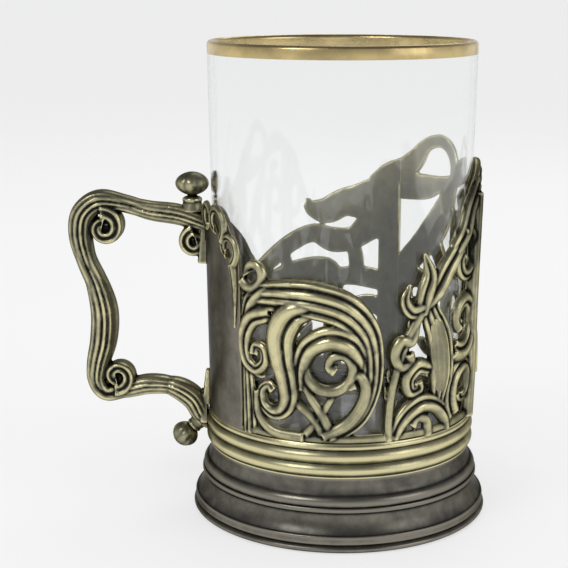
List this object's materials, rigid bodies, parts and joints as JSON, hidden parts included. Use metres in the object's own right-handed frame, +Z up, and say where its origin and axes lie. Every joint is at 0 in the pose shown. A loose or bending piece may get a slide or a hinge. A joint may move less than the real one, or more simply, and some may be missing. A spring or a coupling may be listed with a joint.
{
  "type": "tea glass holder",
  "caption": "Footed metal tea glass holder with a pierced acanthus scroll wall and a cast S-shaped handle, holding a plain lift-out glass with a gold rim.",
  "frame": {"origin": "on the holder's axis, in the plane that the foot stands on", "axes": "+Z up along the axis of the glass; the handle points to -X and the large front scroll to -Y"},
  "size_m": [0.1089, 0.0772, 0.1215],
  "materials": {
    "patinated_brass": "spun brass with a dark patina, satin",
    "rubbed_brass": "cast brass, dark in its recesses and rubbed bright on its ridges",
    "clear_glass": "clear polished soda glass",
    "fired_gold": "thin fired gold band, polished"
  },
  "bodies": {
    "holder": {"foot_ring": "patinated_brass", "foot_skirt": "patinated_brass", "floor_disc": "patinated_brass", "collar_ring": "rubbed_brass", "seam_strap": "patinated_brass", "front_scroll_panel": "rubbed_brass", "right_leaf_panel": "rubbed_brass", "crest_panel": "rubbed_brass", "rear_scroll_panel": "rubbed_brass", "petal_boss": "rubbed_brass", "strap_leaf_front": "rubbed_brass", "strap_leaf_rear": "rubbed_brass", "handle": "rubbed_brass", "thumb_knob": "rubbed_brass", "lower_knob": "rubbed_brass", "handle_rivets": "patinated_brass"},
    "glass": {"tea_glass": "clear_glass", "gilt_rim": "fired_gold"}
  },
  "joints": [
    {"name": "glass_lift", "type": "slide", "parent": "holder", "child": "glass", "axis": [0, 0, 1], "range_m": [0, 0.085]}
  ]
}
